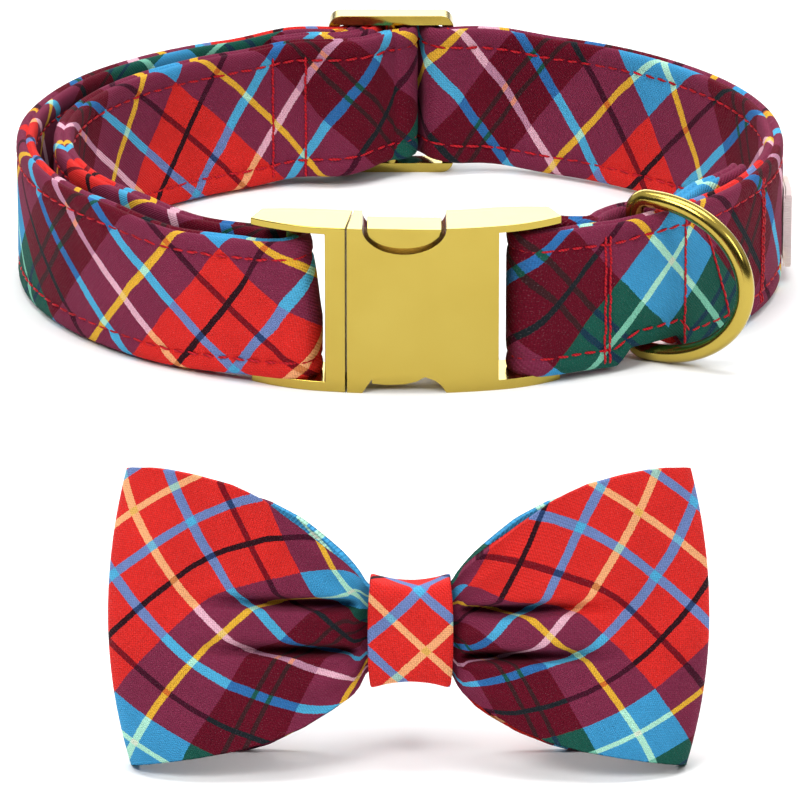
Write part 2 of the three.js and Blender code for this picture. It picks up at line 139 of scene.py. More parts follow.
# Strap and bow are cut on the bias from one printed cotton. Two families of
# stripes cross at right angles, and each crossing has its own ink.
HALF_REPEAT = 232.0
# A family from the middle of its red stripe outwards: start of each stripe.
STRIPES = [
    ("white", 0.0), ("red", 3.5), ("blue", 36.5), ("red", 45.5), ("black", 79.1),
    ("red", 84.9), ("band", 117.0), ("yellow", 149.8), ("band", 156.2),
    ("green", 195.0), ("pine", 221.8), ("green", 226.2),
]
INKS = {
    "straw": "e8b45c", "peach": "f9b07a", "ice": "6fb4d2", "frost": "a3cdbf", "amber": "cf7f48",
    "rose": "eab4c6", "butter": "f0cc74", "mauve": "c38aa4", "coral": "e8957c",
    "scarlet": "dd2c26", "denim": "6f86bd", "oxblood": "7a0f1a", "jet": "2c1016",
    "plum": "7e2b47", "gold": "e9b336", "wine": "640c20", "umber": "3c1e20",
    "azure": "4fb0dc", "ink": "26406c", "mint": "b4efd6", "cobalt": "2f6fae",
    "forest": "18584a", "soot": "431024", "rust": "d4702a", "night": "1b2427",
    "sky": "3f9cd0", "pale": "dcebd4", "teal": "7fc9ae", "navy": "163a4e",
}
CROSSINGS = {  # first family's stripe: inks over the second family's stripes
    #          white    red       blue     black     band     yellow   green    pine
    "white": ("straw", "peach", "ice", "amber", "rose", "butter", "mauve", "coral"),
    "red": ("peach", "scarlet", "denim", "jet", "plum", "gold", "wine", "umber"),
    "blue": ("frost", "denim", "azure", "ink", "azure", "mint", "cobalt", "forest"),
    "black": ("amber", "oxblood", "ink", "jet", "soot", "rust", "night", "night"),
    "band": ("rose", "plum", "azure", "soot", "sky", "mint", "forest", "navy"),
    "yellow": ("butter", "gold", "mint", "rust", "mint", "pale", "teal", "teal"),
    "green": ("mauve", "wine", "cobalt", "night", "forest", "teal", "forest", "navy"),
    "pine": ("coral", "umber", "forest", "night", "navy", "teal", "navy", "navy"),
}
ORDER = ["white", "red", "blue", "black", "band", "yellow", "green", "pine"]


def linear(code):
    out = []
    for i in (0, 2, 4):
        c = int(code[i : i + 2], 16) / 255
        out.append(c / 12.92 if c <= 0.04045 else ((c + 0.055) / 1.055) ** 2.4)
    return (*out, 1.0)


class Nodes:
    """A short way to add and join a material's nodes."""

    def __init__(self, name):
        self.material = bpy.data.materials.new(name)
        self.material.use_nodes = True
        self.tree = self.material.node_tree
        self.skin = self.tree.nodes["Principled BSDF"]

    def add(self, kind, **settings):
        node = self.tree.nodes.new(kind)
        for key, value in settings.items():
            setattr(node, key, value)
        return node

    def join(self, source, target):
        self.tree.links.new(source, target)

    def feed(self, socket, value):
        if isinstance(value, (int, float)):
            socket.default_value = value
        else:
            self.join(value, socket)

    def math(self, operation, *values, clamp=False):
        node = self.add("ShaderNodeMath", operation=operation, use_clamp=clamp)
        for socket, value in zip(node.inputs, values):
            self.feed(socket, value)
        return node.outputs[0]

    def mix(self, factor, under, over, blend="MIX"):
        node = self.add("ShaderNodeMix", data_type="RGBA", blend_type=blend)
        self.feed(node.inputs[0], factor)
        for socket, value in ((node.inputs[6], under), (node.inputs[7], over)):
            if isinstance(value, tuple):
                socket.default_value = value
            else:
                self.join(value, socket)
        return node.outputs[2]

    def noise(self, place, scale, detail=2.0, roughness=0.5):
        node = self.add("ShaderNodeTexNoise")
        self.join(place, node.inputs["Vector"])
        set_in(node, "Scale", scale)
        set_in(node, "Detail", detail)
        set_in(node, "Roughness", roughness)
        return node.outputs["Fac"]

    def bump(self, height, strength, distance):
        node = self.add("ShaderNodeBump")
        set_in(node, "Strength", strength)
        set_in(node, "Distance", distance)
        self.join(height, node.inputs["Height"])
        self.join(node.outputs[0], self.skin.inputs["Normal"])


def printed_cotton(name, units_per_mm, wander):
    """The tartan over a UV map that holds the two stripe measures."""
    n = Nodes(name)
    uv = n.add("ShaderNodeUVMap", uv_map="print").outputs[0]
    place = n.add("ShaderNodeTexCoord").outputs["Object"]
    split = n.add("ShaderNodeSeparateXYZ")
    n.join(uv, split.inputs[0])
    measures = []
    for axis, seed in ((0, 31.0), (1, 57.0)):
        # Printing wanders a little, and the thread breaks up each stripe's edge.
        shift = n.add("ShaderNodeVectorMath", operation="ADD")
        n.join(uv, shift.inputs[0])
        shift.inputs[1].default_value = (seed, seed * 2, 0)
        slow = n.math("MULTIPLY", n.math("SUBTRACT", n.noise(shift.outputs[0], 0.018), 0.5), wander)
        fast = n.math("MULTIPLY", n.math("SUBTRACT", n.noise(shift.outputs[0], 0.7), 0.5), 2.0)
        moved = n.math("ADD", n.math("ADD", split.outputs[axis], slow), fast)
        measures.append(n.math("PINGPONG", moved, HALF_REPEAT))
    first, second = measures
    along = n.math("DIVIDE", second, HALF_REPEAT)

    def crossing_inks(stripe):
        ramp = n.add("ShaderNodeValToRGB")
        ramp.color_ramp.interpolation = "CONSTANT"
        points = ramp.color_ramp.elements
        while len(points) < len(STRIPES):
            points.new(1.0)
        for point, (other, start) in zip(points, STRIPES):
            point.position = start / HALF_REPEAT
            point.color = linear(INKS[CROSSINGS[stripe][ORDER.index(other)]])
        n.join(along, ramp.inputs[0])
        return ramp.outputs[0]

    dye = crossing_inks("red")
    for stripe, start in (("band", 117.0), ("green", 195.0)):
        dye = n.mix(n.math("GREATER_THAN", first, start), dye, crossing_inks(stripe))
    for stripe, middle, half in (
        ("white", 0.0, 3.5), ("blue", 41.0, 4.5), ("black", 82.0, 2.9),
        ("yellow", 153.0, 3.2), ("pine", 224.0, 2.2),
    ):
        inside = n.math("COMPARE", first, middle, half)
        dye = n.mix(inside, dye, crossing_inks(stripe))

    # Undyed fibre shows as pale flecks, and the dye takes unevenly.
    fleck = n.noise(uv, 0.8, 2.0, 0.6)
    fleck = n.math("MULTIPLY", n.math("SUBTRACT", fleck, 0.58, clamp=True), 2.6, clamp=True)
    dye = n.mix(n.math("MULTIPLY", fleck, 0.3), dye, (0.62, 0.55, 0.6, 1))
    tone = n.math("ADD", n.math("MULTIPLY", n.noise(place, 120.0, 3.0), 0.36), 0.82)
    shade = n.add("ShaderNodeCombineXYZ")
    for socket in shade.inputs:
        n.join(tone, socket)
    dye = n.mix(1.0, dye, shade.outputs[0], "MULTIPLY")

    # Threads: warp and weft run with the two families of stripes.
    pitch = 2 * math.pi / (0.44 * units_per_mm)
    warp = n.math("SINE", n.math("MULTIPLY", split.outputs[0], pitch))
    weft = n.math("SINE", n.math("MULTIPLY", split.outputs[1], pitch))
    weave = n.math("ADD", n.math("MULTIPLY", warp, 0.65), n.math("MULTIPLY", weft, 0.35))
    slub = n.math("MULTIPLY", n.noise(uv, 0.9, 2.0), 1.4)
    thread = n.math("ADD", weave, slub)
    # Painted shade: the colour is darkened towards near-black where the threads dip between crossings
    # and where the yarn runs thin, standing in for the shade in the weave.
    weave_shade = n.math("MULTIPLY", warp, weft)
    weave_shade = n.math("ADD", n.math("MULTIPLY", weave_shade, 0.5), n.math("MULTIPLY", slub, 0.9))
    dye = n.mix(n.math("MULTIPLY_ADD", weave_shade, -0.34, 0.34, clamp=True), dye, (0.01, 0, 0.01, 1))
    n.join(dye, n.skin.inputs["Base Color"])
    n.bump(thread, 0.7, 0.0001)
    rough = n.math("MULTIPLY_ADD", n.noise(uv, 0.5), 0.12, 0.74)
    n.join(rough, n.skin.inputs["Roughness"])
    set_in(n.skin, "Sheen Weight", 0.02)
    set_in(n.skin, "Sheen Roughness", 0.4)
    set_in(n.skin, "Specular IOR Level", 0.06)
    return n.material


STRAP_UNITS = 5.1
strap_cotton = printed_cotton("strap_cotton", STRAP_UNITS, 7.0)

# The loop is an oval; depths from it are negative inside. All in mm.
LOOP_A, LOOP_B = 65.0, 59.5
STRAP_W, STRAP_T, GAP, BAR_R = 25.0, 3.2, 0.3, 1.3
WRAP_R = BAR_R + GAP + STRAP_T / 2
OUTER_N = -STRAP_T / 2
BAR_N = OUTER_N - WRAP_R
INNER_N = BAR_N - WRAP_R
STACK_N = OUTER_N - STRAP_T - GAP
SLIDER_X, SLIDER_Y, SLIDER_BAR_R = -1.5, 55.5, 1.2
RING_PHI = 39.8


def loop_point(phi, n):
    f = math.radians(phi)
    normal = Vector((LOOP_B * math.sin(f), -LOOP_A * math.cos(f))).normalized()
    return Vector((LOOP_A * math.sin(f), -LOOP_B * math.cos(f))) + normal * n


def phi_at(x, n=0.0):
    return math.degrees(math.asin(x / (LOOP_A + n)))


def placed(x, y, z):
    """Collar measures, mm from the middle of the loop, to the frame."""
    return Vector(((x + LOOP_X) * MM, (y + LOOP_Y) * MM, z * MM))


male_phi, female_phi = phi_at(-17.3, BAR_N), phi_at(21.4, BAR_N)
male_bar, female_bar = loop_point(male_phi, BAR_N), loop_point(female_phi, BAR_N)


def along_loop(rows):
    return [loop_point(phi, n) for phi, n in rows]


def arc_about(centre, radius, start, end, steps):
    return [
        Vector((centre[0] + radius * math.cos(a), centre[1] + radius * math.sin(a)))
        for a in np.radians(np.linspace(start, end, steps + 1))
    ]


def across(*rows):
    return [Vector((SLIDER_X + x, y)) for x, y in rows]


slider_wrap = SLIDER_BAR_R + GAP + STRAP_T / 2
STRAP_PATH = [
    # sewn end, then round the slider's middle bar
    *across((-21.0, 50.1), (-13.5, 50.7), (-10.0, 50.4), (-7.0, 51.3), (-4.8, 53.3)),
    *arc_about((SLIDER_X, SLIDER_Y), slider_wrap, 150, -90, 16),
    # inner layer of the left half
    *across((-2.2, 50.6), (-4.8, 48.4), (-10.0, 46.8), (-13.5, 47.2)),
    *along_loop([(-160, -8.9), (-145, -8.5), (-125, -8.1), (-105, -7.9), (-85, -7.9),
                 (-65, -8.0), (-45, -8.2), (-30, -8.2), (male_phi - 4, INNER_N)]),
    *arc_about(male_bar, WRAP_R, male_phi + 90, male_phi - 90, 14),
    # outer layer of the left half
    *along_loop([(male_phi - 4, OUTER_N), (-30, -1.7), (-45, -1.6), (-65, -1.6),
                 (-85, -1.6), (-105, -1.6), (-125, -1.6), (-145, -1.7), (-155, -1.9)]),
    # through the slider, over its middle bar
    *across((-18.5, 54.4), (-13.5, 54.1), (-10.0, 53.9), (-7.8, 54.6), (-6.85, 56.6),
            (-5.5, 59.3), (-3.3, 61.3), (0, 62.1), (3.3, 61.3), (5.5, 59.3),
            (6.85, 56.6), (7.8, 54.6), (10.0, 53.9), (13.5, 54.3)),
    # right half
    *along_loop([(162, -2.1), (150, -1.7), (130, -1.6), (110, -1.6), (90, -1.6),
                 (75, -1.6), (60, -1.6), (50, -1.6), (45, -1.5), (RING_PHI, -1.4),
                 (35, -1.5), (30, -1.6), (female_phi + 4, OUTER_N)]),
    *arc_about(female_bar, WRAP_R, female_phi - 90, female_phi - 270, 14),
    # inner layer at the front right, with the pocket that holds the D-ring
    *along_loop([(female_phi + 4, INNER_N), (27, -6.4), (31.4, STACK_N), (35, -7.2),
                 (RING_PHI, -8.4), (43.5, -7.2), (47, STACK_N), (52, -5.7), (58, -6.8),
                 (63, -6.0), (69, STACK_N), (71, STACK_N)]),
]


def smooth_line(points, step):
    """A centripetal curve through the points, in even steps."""
    pts = [np.array(p, float) for p in points]
    pts = [2 * pts[0] - pts[1], *pts, 2 * pts[-1] - pts[-2]]
    fine = []
    for p0, p1, p2, p3 in zip(pts, pts[1:], pts[2:], pts[3:]):
        t1 = np.linalg.norm(p1 - p0) ** 0.5
        t2 = t1 + np.linalg.norm(p2 - p1) ** 0.5
        t3 = t2 + np.linalg.norm(p3 - p2) ** 0.5
        for t in np.linspace(t1, t2, 12, endpoint=False):
            a1 = (t1 - t) / t1 * p0 + t / t1 * p1
            a2 = (t2 - t) / (t2 - t1) * p1 + (t - t1) / (t2 - t1) * p2
            a3 = (t3 - t) / (t3 - t2) * p2 + (t - t2) / (t3 - t2) * p3
            b1 = (t2 - t) / t2 * a1 + t / t2 * a2
            b2 = (t3 - t) / (t3 - t1) * a2 + (t - t1) / (t3 - t1) * a3
            fine.append((t2 - t) / (t2 - t1) * b1 + (t - t1) / (t2 - t1) * b2)
    fine = np.array([*fine, pts[-2]])
    run = np.concatenate([[0], np.cumsum(np.linalg.norm(np.diff(fine, axis=0), axis=1))])
    at = np.linspace(0, run[-1], int(run[-1] / step) + 1)
    return np.stack([np.interp(at, run, fine[:, k]) for k in (0, 1)], 1), at


strap_line, strap_run = smooth_line(STRAP_PATH, 0.75)
strap_dir = np.gradient(strap_line, axis=0)
strap_dir /= np.linalg.norm(strap_dir, axis=1)[:, None]
strap_side = np.stack([strap_dir[:, 1], -strap_dir[:, 0]], 1)


def ease_in(value, low, high):
    t = np.clip((value - low) / (high - low), 0, 1)
    return t * t * (3 - 2 * t)


def near(points, x, y, inner, outer):
    reach = np.hypot(points[:, 0] - x, points[:, 1] - y)
    return 1 - ease_in(reach, inner, outer)


HANG_Z, PINCH_LOW, PINCH_HIGH = 0.6, 3.7, 25.9  # hanging edge; edges inside the D-ring


def strap_edges(points):
    """Lower and upper edge: low where the strap hangs, lifted inside the metal."""
    lift = np.maximum(0.45 * near(points, 2, -56, 24, 42), near(points, SLIDER_X, 56, 13, 30))
    low = HANG_Z + 1.4 * lift
    ring, slack = loop_point(RING_PHI + 1.0, OUTER_N), loop_point(-28, -4)
    pinch = near(points, ring.x, ring.y, 4.5, 8.0)
    sag = 1.5 * near(points, slack.x, slack.y, 6, 24)
    gather = near(points, SLIDER_X + 1, 53, 3, 12)
    return (
        low + (PINCH_LOW - low) * pinch + 1.3 * gather,
        low + STRAP_W - sag + (PINCH_HIGH - low - STRAP_W) * pinch,
    )


strap_z0, strap_z1 = strap_edges(strap_line)

# Run lengths of the places where the strap changes its course.
turn_slider, turn_male, turn_over, turn_back, turn_female = (
    strap_run[np.argmin(np.hypot(*(strap_line - np.array(place)).T))]
    for place in (
        (SLIDER_X + slider_wrap, SLIDER_Y),
        male_bar + (loop_point(0, 0) - loop_point(-4, 0)).normalized() * WRAP_R,
        (SLIDER_X + 0.0, 62.1),
        (SLIDER_X + 10.0, 53.9),
        female_bar - (loop_point(8, 0) - loop_point(4, 0)).normalized() * WRAP_R,
    )
)

# How the print lies on each stretch that shows: its stripe measures at a run s
# from phi0 and a height z from mid-strap, as c + a s + b z + d s s + e s z.
PRINT_LAY = {
    #               phi0  first family                             second family
    "outer_left": (-88, (-154.4, 4.024, 5.053, -0.0059, -0.0153),
                   (-306.7, 2.638, -2.613, 0.0103, -0.008)),
    "outer_right": (15, (-284.3, 3.954, 4.326, -0.0034, -0.0246),
                    (43.2, 4.291, -5.401, -0.0131, 0.0513)),
    "buckle_right": (15, (-260.2, 2.353, 2.420, 0.0225, 0.0319),
                     (48.3, 3.543, -3.516, 0.0041, -0.0108)),
    "neck_left": (-92, (-67.7, 3.618, 5.122, 0.0053, -0.0196),
                  (-255.8, 4.091, -2.145, 0.0022, -0.0133)),
    "neck_right": (172, (-48.0, 4.426, 3.210, -0.0059, -0.0219),
                   (-279.0, 4.588, -3.137, -0.0097, -0.0140)),
}
# Where each stretch's measures are tied to the strap: an angle on it, the depth
# its run is measured at, the strap's own depth, and which way the run grows.
PRINT_TIE = {
    "outer_left": (-50, 0.0, -1.6, -1, turn_male, turn_back),
    "outer_right": (55, 0.0, -1.6, -1, turn_back, turn_female),
    "neck_left": (-130, -9.6, -8.1, -1, turn_slider, turn_male),
    "neck_right": (130, -3.2, -1.6, 1, turn_back, turn_female),
}
MID_Z = 14.5
LAY_REACH = {"outer_left": 84, "outer_right": 80, "neck_left": 76, "neck_right": 94}


def loop_length(phi_a, phi_b, n):
    line = np.array([loop_point(phi, n) for phi in np.linspace(phi_a, phi_b, 160)])
    return float(np.hypot(*np.diff(line, axis=0).T).sum())


def run_near(phi, n, after, before):
    gap = np.hypot(*(strap_line - np.array(loop_point(phi, n))).T)
    gap[(strap_run < after) | (strap_run > before)] = 1e9
    return strap_run[np.argmin(gap)]


def lay_tie(name):
    phi, depth, own, way, after, before = PRINT_TIE[name]
    start = PRINT_LAY[name][0]
    reach = loop_length(start, phi, depth)
    return run_near(phi, own, after, before), reach, way * reach / loop_length(start, phi, own)


LAY_TIES = {name: lay_tie(name) for name in PRINT_TIE}


def print_at(name, run, z):
    """Stripe measures on a stretch, carried on straight beyond what it covers."""
    tie_run, tie_s, rate = LAY_TIES[name]
    s = tie_s + (run - tie_run) * rate
    inside = np.clip(s, 0, LAY_REACH[name])

    def lay(rows):
        return np.array([
            c + a * inside + d * inside**2 + (a + 2 * d * inside) * (s - inside)
            + (b + e * inside) * (z - MID_Z)
            for c, a, b, d, e in rows
        ])

    out = lay(PRINT_LAY[name][1:])
    if name == "outer_right":
        # Here the cloth is drawn in towards the buckle's right window.
        free = ease_in(s, 30, 44)
        out = free * out + (1 - free) * lay(PRINT_LAY["buckle_right"][1:])
    return out


# Half a cross-section, from the groove between the plies at one edge to mid-strap.
# Columns: distance from the edge, distance from the middle of the strap.
HALF_SECTION = [
    (0.50, 0.00), (0.16, 0.22), (0.00, 0.62), (0.06, 1.05), (0.38, 1.42), (0.95, 1.60),
    (1.7, 1.66), (2.5, 1.60), (2.95, 1.44), (3.25, 1.30), (3.55, 1.42), (4.1, 1.56),
    (5.2, 1.63), (7.5, 1.64), (10.0, 1.62), (12.5, 1.62),
]
SECTION_T, SECTION_N = np.array(HALF_SECTION).T
TURN_T = 1.2  # nearer an edge than this, the cloth turns over it
SEAM_IN = 3.25
rng = np.random.default_rng(7)
ripple_phase = rng.uniform(0, 6.28, 12)


def ripple(run, row):
    """Slow, uneven waves in the cloth, mm."""
    p = ripple_phase
    return 0.5 * (
        np.sin(run / 3.7 + p[0] + row * 1.3) * 0.5
        + np.sin(run / 7.9 + p[1] + row * 2.1)
        + np.sin(run / 17.0 + p[2] - row * 0.8) * 0.8
    )


def face_depth(t, run, side):
    """How far the face stands out from mid-strap at a distance t from the edge."""
    base = np.interp(t, SECTION_T[5:], SECTION_N[5:])
    pucker = 0.10 * np.sin(run * 2 * math.pi / 2.9 + side) * np.exp(-(((t - SEAM_IN) / 1.3) ** 2))
    return base + pucker


male_hold = near(strap_line, male_bar.x, male_bar.y, 3.4, 9)
female_hold = near(strap_line, female_bar.x, female_bar.y, 3.4, 9)


def lean_in(run, z):
    """The fold at the male half leans back at its top; the other sits in a little."""
    top = min(1.0, max(0.0, (z - 11) / 14))
    return (0.7 * np.interp(run, strap_run, female_hold)
            - 1.8 * top * np.interp(run, strap_run, male_hold))


def strap_mesh():
    verts, uvs = [], []
    half = HALF_SECTION
    section = []  # (from lower edge?, t, depth, side)
    for side in (1, -1):
        rows = [(True, t, n, side) for t, n in half] + [
            (False, t, n, side) for t, n in reversed(half[:-1])
        ]
        section.append(rows if side > 0 else rows[::-1])
    ring = section[0] + section[1][1:-1]
    for i, run in enumerate(strap_run):
        x, y = strap_line[i]
        sx, sy = strap_side[i]
        z0, z1 = strap_z0[i], strap_z1[i]
        squeeze = (z1 - z0) / STRAP_W
        for low, t, n, side in ring:
            tt = t * squeeze
            edge = 0.12 * ripple(run, 3 + low)
            z = (z0 + tt + edge * (t < 2)) if low else (z1 - tt + edge * (t < 2))
            if t > TURN_T:
                n += face_depth(t, run, side) - np.interp(t, SECTION_T, SECTION_N)
                n += 0.05 * ripple(run, t) * min(1.0, t / 5)
            n = side * n
            verts.append(placed(x + lean_in(run, z) + sx * n, y + sy * n, z))
            # The print wraps over the edges, so the height runs on past them.
            fold = max(0.0, SECTION_N[-1] - abs(n)) if t < TURN_T else 0.0
            uvs.append((run, z - fold if low else z + fold, side))
    return verts, uvs, len(ring)


def which_lay(run, side):
    """The print's stretch; side -1 is the face that shows outside the loop."""
    if run < turn_male:
        return "neck_left"
    if side > 0 and run > turn_over:
        return "neck_right" if run < turn_female else "outer_right"
    if run < turn_back:
        return "outer_left" if side < 0 else "neck_left"
    if run < turn_female:
        return "outer_right" if side < 0 else "neck_right"
    return "outer_right"


def add_piece(name, verts, faces, material, smooth=True):
    mesh = bpy.data.meshes.new(name)
    mesh.from_pydata([tuple(v) for v in verts], [], faces)
    mesh.materials.append(material)
    mesh.polygons.foreach_set("use_smooth", [smooth] * len(mesh.polygons))
    piece = bpy.data.objects.new(name, mesh)
    bpy.context.scene.collection.objects.link(piece)
    bm = bmesh.new()
    bm.from_mesh(mesh)
    bmesh.ops.recalc_face_normals(bm, faces=bm.faces)
    bm.to_mesh(mesh)
    bm.free()
    return piece


def give_print(piece, measures):
    """Writes the stripe measures, one pair for each corner of each face."""
    layer = piece.data.uv_layers.new(name="print")
    layer.data.foreach_set("uv", np.array(measures, np.float32).ravel())


def ring_faces(count, k, closed=False):
    faces = []
    spans = count if closed else count - 1
    for s in range(spans):
        a, b = s * k, ((s + 1) % count) * k
        for i in range(k):
            j = (i + 1) % k
            faces.append((a + i, b + i, b + j, a + j))
    if not closed:
        faces.append(tuple(range(k)))
        faces.append(tuple(range((count - 1) * k, count * k))[::-1])
    return faces


strap_verts, strap_marks, strap_k = strap_mesh()
strap = add_piece("strap_cloth", strap_verts, ring_faces(len(strap_run), strap_k), strap_cotton)
marks = np.array(strap_marks)
corner_uv = []
for poly in strap.data.polygons:
    ids = np.array(poly.vertices)
    rows = marks[ids]
    side = 1 if rows[:, 2].mean() > 0 else -1
    name = which_lay(rows[:, 0].min(), side)
    first, second = print_at(name, rows[:, 0], rows[:, 1])
    corner_uv.extend(zip(first, second))
give_print(strap, corner_uv)
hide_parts("strap")
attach(strap, "collar")

# ---- Stitching ------------------------------------------------------------------
# Red polyester thread: a running seam along both edges of each layer, and upright
# rows that tack the layers together beside the slider, the D-ring and the strap end.


def red_thread():
    n = Nodes("thread_red")
    place = n.add("ShaderNodeTexCoord").outputs["Object"]
    twist = n.add("ShaderNodeTexWave", wave_type="BANDS", bands_direction="DIAGONAL")
    n.join(place, twist.inputs["Vector"])
    set_in(twist, "Scale", 900.0)
    set_in(twist, "Distortion", 1.0)
    # Painted shade and highlight: the red is darker in the grooves of the thread's twist and lighter
    # on its ridges.
    dye = n.mix(twist.outputs["Fac"], linear("8f0715"), linear("cc1628"))
    n.join(dye, n.skin.inputs["Base Color"])
    n.bump(twist.outputs["Fac"], 0.4, 0.00005)
    set_in(n.skin, "Roughness", 0.55)
    set_in(n.skin, "Specular IOR Level", 0.2)
    return n.material


thread_red = red_thread()
STITCH_R, TACK_LENGTH, TACK_PITCH = 0.23, 1.75, 1.7


def stitch(verts, faces, start, end, out):
    """One arched stitch, sunk at both ends where it enters the cloth."""
    axis = (end - start).normalized()
    flank = axis.cross(out).normalized()
    base = len(verts)
    rows = [(-0.02, 0.3, -0.5), (0.12, 0.85, -0.05), (0.35, 1.0, 0.25), (0.65, 1.0, 0.25),
            (0.88, 0.85, -0.05), (1.02, 0.3, -0.5)]
    k = 6
    for f, wide, rise in rows:
        centre = start.lerp(end, f) + out * rise * STITCH_R * MM
        for j in range(k):
            a = 2 * math.pi * j / k
            verts.append(centre + (flank * math.cos(a) + out * math.sin(a) * 0.8)
                         * STITCH_R * wide * MM)
    for r in range(len(rows) - 1):
        for j in range(k):
            a, b = base + r * k, base + (r + 1) * k
            faces.append((a + j, b + j, b + (j + 1) % k, a + (j + 1) % k))
    faces.append(tuple(range(base, base + k)))
    faces.append(tuple(range(base + (len(rows) - 1) * k, base + len(rows) * k))[::-1])


def on_strap(run, z, side, proud=0.0):
    """A point on the strap's face, and the way out of that face."""
    x, y = (np.interp(run, strap_run, strap_line[:, k]) for k in (0, 1))
    sx, sy = (np.interp(run, strap_run, strap_side[:, k]) for k in (0, 1))
    low, high = (np.interp(run, strap_run, e) for e in (strap_z0, strap_z1))
    t = min(z - low, high - z) * STRAP_W / (high - low)
    n = side * (face_depth(t, run, side) + 0.05 * ripple(run, t) * min(1.0, t / 5) + proud)
    return placed(x + lean_in(run, z) + sx * n, y + sy * n, z), Vector((sx * side, sy * side, 0))


def edge_seams():
    verts, faces = [], []
    pitch, length = 2.75, 2.15
    for side in (1, -1):
        for upper in (False, True):
            run = 1.2
            while run < strap_run[-1] - 3.2:
                wander = 0.16 * ripple(run, 9 + side)
                skew = rng.uniform(-0.14, 0.14)
                ends = []
                for r, s in ((run, skew), (run + length + rng.uniform(-0.2, 0.2), -skew)):
                    low, high = (np.interp(r, strap_run, e) for e in (strap_z0, strap_z1))
                    inset = SEAM_IN * (high - low) / STRAP_W + wander + s
                    ends.append(on_strap(r, high - inset if upper else low + inset, side, 0.05))
                (p, out_p), (q, out_q) = ends
                stitch(verts, faces, p, q, (out_p + out_q).normalized())
                run += pitch
    return verts, faces


def upright_seams():
    verts, faces = [], []

    def row(run, side, lean=0.0, low=2.0, high=24.6):
        z = low
        while z < high - 1.5:
            at = run + lean * (z - 13) + rng.uniform(-0.08, 0.08)
            length = min(TACK_LENGTH, high - z)
            p, out = on_strap(at, z, side, 0.1)
            q, _ = on_strap(at + lean * length, z + length, side, 0.1)
            stitch(verts, faces, p, q, out)
            z += TACK_PITCH

    # tacks through the turned-back end at the front right
    for phi, leans in ((31.4, (-0.45, 0.45)), (46.6, (0.0,)), (69.3, (-0.45, 0.45))):
        outer = run_near(phi, OUTER_N, turn_back, turn_female)
        inner = run_near(phi, STACK_N, turn_female, strap_run[-1])
        for shift in leans:
            row(outer + shift, -1)
            row(inner + shift, -1)
    row(run_near(54.5, OUTER_N, turn_back, turn_female), -1, lean=0.4)
    # tacks that hold the sewn end beside the slider
    for x in (-16.0, -22.3):
        row(run_near(-180 - phi_at(x, -9), -9.0, turn_slider, turn_male), -1)
    return verts, faces


for name, make in (("edge_stitching", edge_seams), ("tack_stitching", upright_seams)):
    seam_verts, seam_faces = make()
    seam = add_piece(name, seam_verts, seam_faces, thread_red)
    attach(seam, "collar")

# ---- Buckle ---------------------------------------------------------------------
# Die-cast zinc, gold plated and polished, in two halves that click together. The
# male half's spring tongues end in the release tabs seen in the side notches.


def gold_plate():
    n = Nodes("gold_plate")
    place = n.add("ShaderNodeTexCoord").outputs["Object"]
    cloudy = n.noise(place, 90.0, 3.0)
    tone = n.mix(cloudy, linear("ab9440"), linear("b9a44f"))
    n.join(tone, n.skin.inputs["Base Color"])
    set_in(n.skin, "Metallic", 1.0)
    scuff = n.noise(place, 700.0, 4.0, 0.7)
    n.join(n.math("MULTIPLY_ADD", scuff, 0.09, 0.13), n.skin.inputs["Roughness"])
    n.bump(n.noise(place, 160.0, 1.0), 0.08, 0.0002)
    return n.material


gold = gold_plate()
METAL_H, RAIL = 29.0, 1.7
BUCKLE_N0, BUCKLE_N1 = BAR_N - 4.6, BAR_N + 4.9
SEAM_X, BODY_END, NOTCH_X = -8.75, 16.2, 0.75


def curved_plate(x0, x1, n0, n1, z0, z1, steps, body=None, taper=(0.0, 0.0)):
    """A plate that follows the loop from x0 to x1 and thins beyond its body."""
    verts = []
    for i in range(steps + 1):
        x = x0 + (x1 - x0) * i / steps
        f = 0.0
        if body is not None and (x - body) * (x1 - x0) > 0:
            f = ((x - body) / (x1 - body)) ** 2
        a, b = n0 + taper[0] * f, n1 - taper[1] * f
        for n, z in ((a, z0), (b, z0), (b, z1), (a, z1)):
            p = loop_point(phi_at(x), n)
            verts.append(placed(p.x, p.y, z))
    return verts, ring_faces(steps + 1, 4)


def upright_box(x0, x1, z0, z1, y0=-90, y1=0):
    verts = [placed(x, y, z) for z in (z0, z1) for x, y in ((x0, y0), (x1, y0), (x1, y1), (x0, y1))]
    return verts, ring_faces(2, 4)


def post(centre, radius, z0, z1, sides=32):
    verts = [
        placed(centre[0] + radius * math.cos(a), centre[1] + radius * math.sin(a), z)
        for z in (z0, z1)
        for a in np.linspace(0, 2 * math.pi, sides, endpoint=False)
    ]
    return verts, ring_faces(2, sides)


def prism(rows, y0, y1):
    """An outline in X and Z, carried through in Y."""
    verts = [placed(x + NOTCH_X, y, z) for y in (y0, y1) for x, z in rows]
    return verts, ring_faces(2, len(rows))


